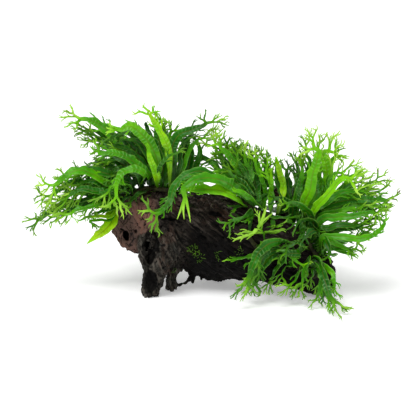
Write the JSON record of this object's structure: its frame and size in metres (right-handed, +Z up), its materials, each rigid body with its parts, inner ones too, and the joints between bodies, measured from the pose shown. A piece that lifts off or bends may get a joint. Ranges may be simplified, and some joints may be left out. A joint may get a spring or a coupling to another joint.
{
  "type": "java fern on driftwood",
  "caption": "Crested java fern with forked fronds, growing from creeping stems on a weathered driftwood stump that stands on its roots.",
  "frame": {"origin": "on the surface it stands on, under the middle of the whole plant's box", "axes": "+X along the log to the viewer's right, +Y away from the viewer, +Z up"},
  "size_m": [0.3768, 0.2029, 0.1916],
  "materials": {
    "driftwood": "weathered dark brown wood with grain, cracks and rotted holes",
    "rhizome": "brown-green scaly creeping stem, standing in for plant tissue",
    "frond": "satin green leaf with feathered veins, standing in for plant tissue"
  },
  "bodies": {
    "root": {"driftwood_log": "driftwood", "front_foot": "driftwood", "slit_shard": "driftwood", "second_root": "driftwood", "loop_root": "driftwood", "rear_root": "driftwood", "back_branch": "driftwood", "rhizome_left": "rhizome", "rhizome_middle": "rhizome", "rhizome_right": "rhizome", "rhizome_low": "rhizome", "frond_left_01": "frond", "frond_left_02": "frond", "frond_left_03": "frond", "frond_left_04": "frond", "frond_left_06": "frond", "frond_left_07": "frond", "frond_left_08": "frond", "frond_left_09": "frond", "frond_left_10": "frond", "frond_left_13": "frond", "frond_left_14": "frond", "frond_crown_02": "frond", "frond_crown_03": "frond", "frond_crown_04": "frond", "frond_crown_05": "frond", "frond_crown_06": "frond", "frond_crown_07": "frond", "frond_middle_00": "frond", "frond_middle_01": "frond", "frond_middle_02": "frond", "frond_middle_04": "frond", "frond_middle_05": "frond", "frond_middle_06": "frond", "frond_middle_07": "frond", "frond_middle_08": "frond", "frond_middle_09": "frond", "frond_middle_11": "frond", "frond_right_01": "frond", "frond_right_03": "frond", "frond_right_04": "frond", "frond_right_05": "frond", "frond_right_06": "frond", "frond_right_07": "frond", "frond_right_08": "frond", "frond_right_09": "frond", "frond_right_10": "frond", "frond_right_11": "frond", "frond_low_01": "frond", "frond_low_02": "frond", "frond_low_04": "frond", "frond_low_05": "frond", "frond_low_06": "frond", "frond_low_07": "frond", "frond_rear_01": "frond", "frond_rear_02": "frond", "frond_rear_03": "frond", "frond_rear_04": "frond", "frond_rear_05": "frond", "frond_rear_06": "frond"}
  },
  "joints": []
}
